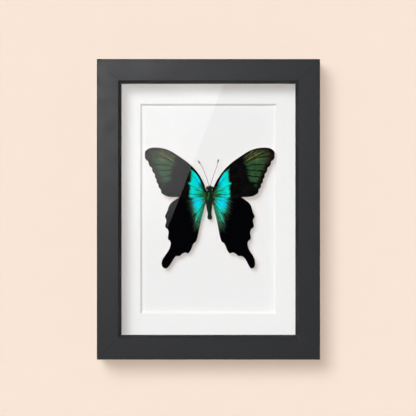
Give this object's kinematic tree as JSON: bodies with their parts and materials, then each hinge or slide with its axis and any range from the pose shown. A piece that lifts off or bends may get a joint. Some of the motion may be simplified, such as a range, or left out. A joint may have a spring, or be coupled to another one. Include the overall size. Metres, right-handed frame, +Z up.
{
  "type": "framed butterfly specimen",
  "caption": "Spread swallowtail butterfly pinned above a white board, in a black glazed box frame with a bevel-cut mat and a hanger on its back.",
  "frame": {"origin": "the notch of the sawtooth hanger that bears on the wall nail, in the plane of the wall", "axes": "+X to the right and +Z up as seen from the front, +Y into the wall; the front faces -Y"},
  "size_m": [0.15, 0.028, 0.202],
  "materials": {
    "rail_black": "black satin lacquer on wood, faint brushed grain",
    "clear_glass": "clear float glass, 2 mm",
    "spacer_foam": "white foam board strips",
    "mat_white": "white mat board with a bevel-cut window",
    "board_white": "white smooth paper on foam board",
    "panel_hardboard": "brown hardboard",
    "zinc_steel": "zinc-plated spring steel",
    "pin_steel": "stainless entomological pin",
    "insect_body": "black chitin with dark fur and golden-green scales",
    "wing_scales": "velvet black scales with a turquoise band and green dusting"
  },
  "bodies": {
    "root": {"rail_top": "rail_black", "rail_right": "rail_black", "rail_bottom": "rail_black", "rail_left": "rail_black", "glass_pane": "clear_glass", "spacer_top": "spacer_foam", "spacer_right": "spacer_foam", "spacer_bottom": "spacer_foam", "spacer_left": "spacer_foam", "mat_board": "mat_white", "mount_board": "board_white", "back_panel": "panel_hardboard", "retaining_tab_top_1": "zinc_steel", "retaining_tab_top_2": "zinc_steel", "retaining_tab_right_1": "zinc_steel", "retaining_tab_right_2": "zinc_steel", "retaining_tab_bottom_1": "zinc_steel", "retaining_tab_bottom_2": "zinc_steel", "retaining_tab_left_1": "zinc_steel", "retaining_tab_left_2": "zinc_steel", "sawtooth_hanger": "zinc_steel", "hanger_screw_1": "zinc_steel", "hanger_screw_2": "zinc_steel", "head": "insect_body", "thorax": "insect_body", "abdomen": "insect_body", "antenna_left": "insect_body", "antenna_right": "insect_body", "forewing_right": "wing_scales", "forewing_left": "wing_scales", "hindwing_right": "wing_scales", "hindwing_left": "wing_scales", "mounting_pin": "pin_steel"}
  },
  "joints": []
}
